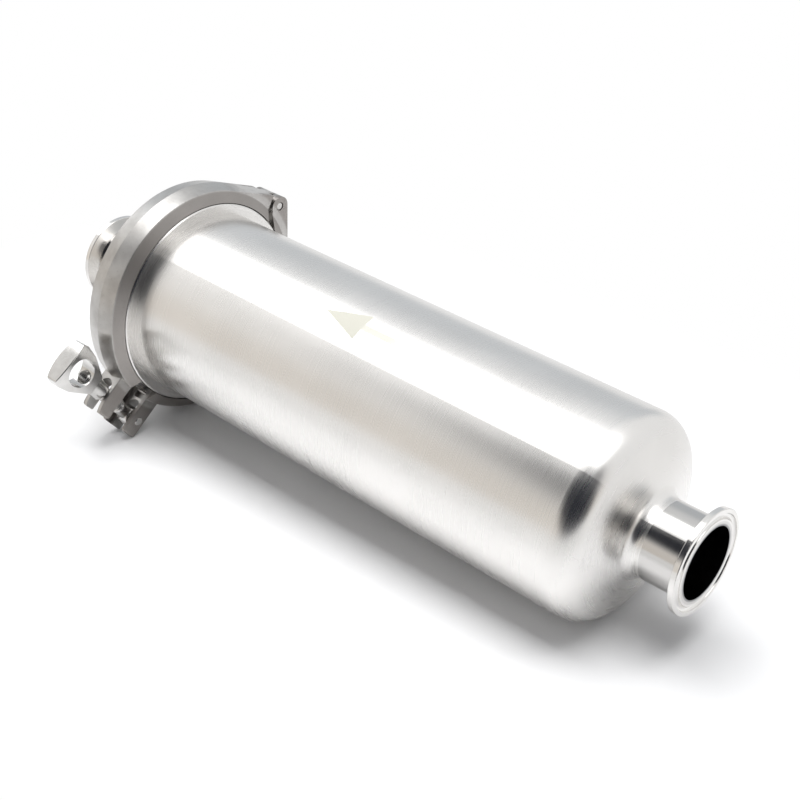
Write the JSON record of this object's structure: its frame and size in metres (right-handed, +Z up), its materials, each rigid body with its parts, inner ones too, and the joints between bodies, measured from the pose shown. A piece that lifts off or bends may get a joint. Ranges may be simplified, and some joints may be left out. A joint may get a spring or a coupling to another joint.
{
  "type": "sanitary inline filter",
  "caption": "Straight sanitary inline filter: a satin steel housing with a domed inlet end, a dished cap held by a hinged wing-nut clamp, and a flanged ferrule at each end.",
  "frame": {"origin": "centre of the inlet ferrule's face", "axes": "+X along the housing from the outlet towards the inlet, leaning a little down at the inlet end as the filter lies at rest; +Z up from the table"},
  "size_m": [0.3973, 0.1608, 0.1292],
  "materials": {
    "brushed": "satin stainless steel, brushed around the housing",
    "turned": "fine-turned stainless steel",
    "polished": "polished stainless steel",
    "cast": "fine investment-cast stainless steel, tumbled",
    "pin": "bright drawn stainless steel",
    "nut": "polished cast stainless steel",
    "sheet": "rolled stainless sheet",
    "mesh": "fine woven stainless wire",
    "seal": "black food-grade rubber"
  },
  "bodies": {
    "housing": {"body_tube": "brushed", "inlet_dome": "brushed", "cap_dome": "brushed", "body_ferrule": "turned", "cap_ferrule": "turned", "inlet_ferrule": "polished", "outlet_ferrule": "polished", "main_gasket": "seal", "collar_o_ring": "seal", "clamp_lower_half": "cast", "hinge_pin": "pin", "bolt_pin": "pin", "seat_ring": "turned", "element_collar": "turned", "support_tube": "sheet", "filter_screen": "mesh", "screen_band_outlet": "sheet", "screen_band_inlet": "sheet", "element_end_cap": "turned", "centring_fins": "sheet"},
    "upper_clamp": {"clamp_upper_half": "cast"},
    "bolt": {"swing_bolt": "pin"},
    "nut": {"wing_nut": "nut"}
  },
  "joints": [
    {"name": "bolt_swing", "type": "hinge", "parent": "housing", "child": "bolt", "pos_m": [-0.33325, -0.05135, -0.03903], "axis": [0.9988, 0, -0.049], "range_deg": [0, 140]},
    {"name": "clamp_open", "type": "hinge", "parent": "housing", "child": "upper_clamp", "pos_m": [-0.32875, 0.05888, 0.05278], "axis": [-0.9988, 0, 0.049], "range_deg": [0, 2.8]},
    {"name": "wing_nut_turn", "type": "hinge", "parent": "bolt", "child": "nut", "pos_m": [-0.33206, -0.06789, -0.01462], "axis": [0.0406, -0.5605, 0.8272], "continuous": true}
  ],
  "couplings": [
    {"joint": "clamp_open", "follows": "bolt_swing", "ratio": 0.02}
  ]
}
